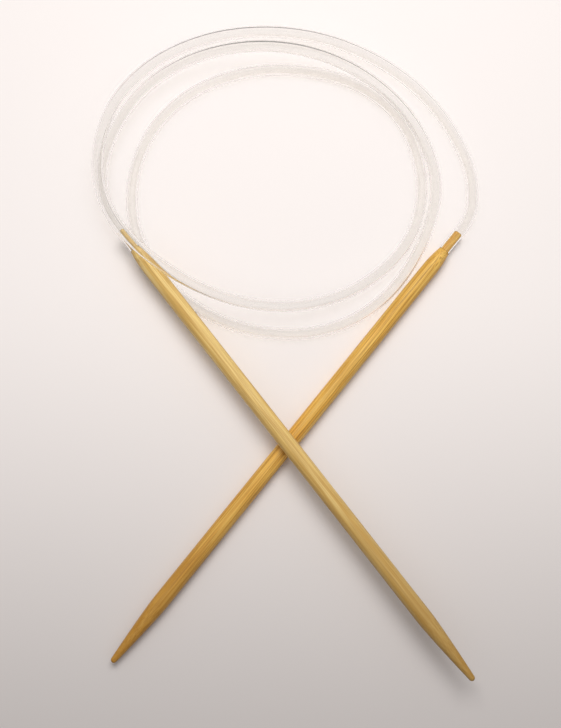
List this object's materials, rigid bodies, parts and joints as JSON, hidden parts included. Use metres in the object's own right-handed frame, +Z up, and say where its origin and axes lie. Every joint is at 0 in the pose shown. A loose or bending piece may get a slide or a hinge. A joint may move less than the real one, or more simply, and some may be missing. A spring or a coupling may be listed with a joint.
{
  "type": "circular knitting needle",
  "caption": "Circular knitting needle: tapered bamboo needles joined by a long clear flexible tube, lying with the needles crossed and the tube loosely coiled.",
  "frame": {"origin": "on the surface that the needle lies on, under the middle of the box round both needles", "axes": "+Z up from that surface, +Y from the tips towards the coil of tube, +X to the right"},
  "size_m": [0.1082, 0.1811, 0.0113],
  "materials": {
    "pale_bamboo": "satin, sanded smooth, fine fibre streaks along the needle",
    "amber_bamboo": "satin, sanded smooth, dark fibre streaks along the needle",
    "clear_pvc": "clear, smooth and glossy"
  },
  "bodies": {
    "left_and_tube": {"left_needle": "pale_bamboo", "clear_tube": "clear_pvc"},
    "right": {"right_needle": "amber_bamboo"}
  },
  "joints": [
    {"name": "right_needle_swing", "type": "hinge", "parent": "left_and_tube", "child": "right", "pos_m": [0.049, 0.085, 0.002], "axis": [0, 0, 1], "range_deg": [0, 20], "stiffness_Nm_per_rad": 0.002, "deforming": ["clear_tube"]}
  ]
}
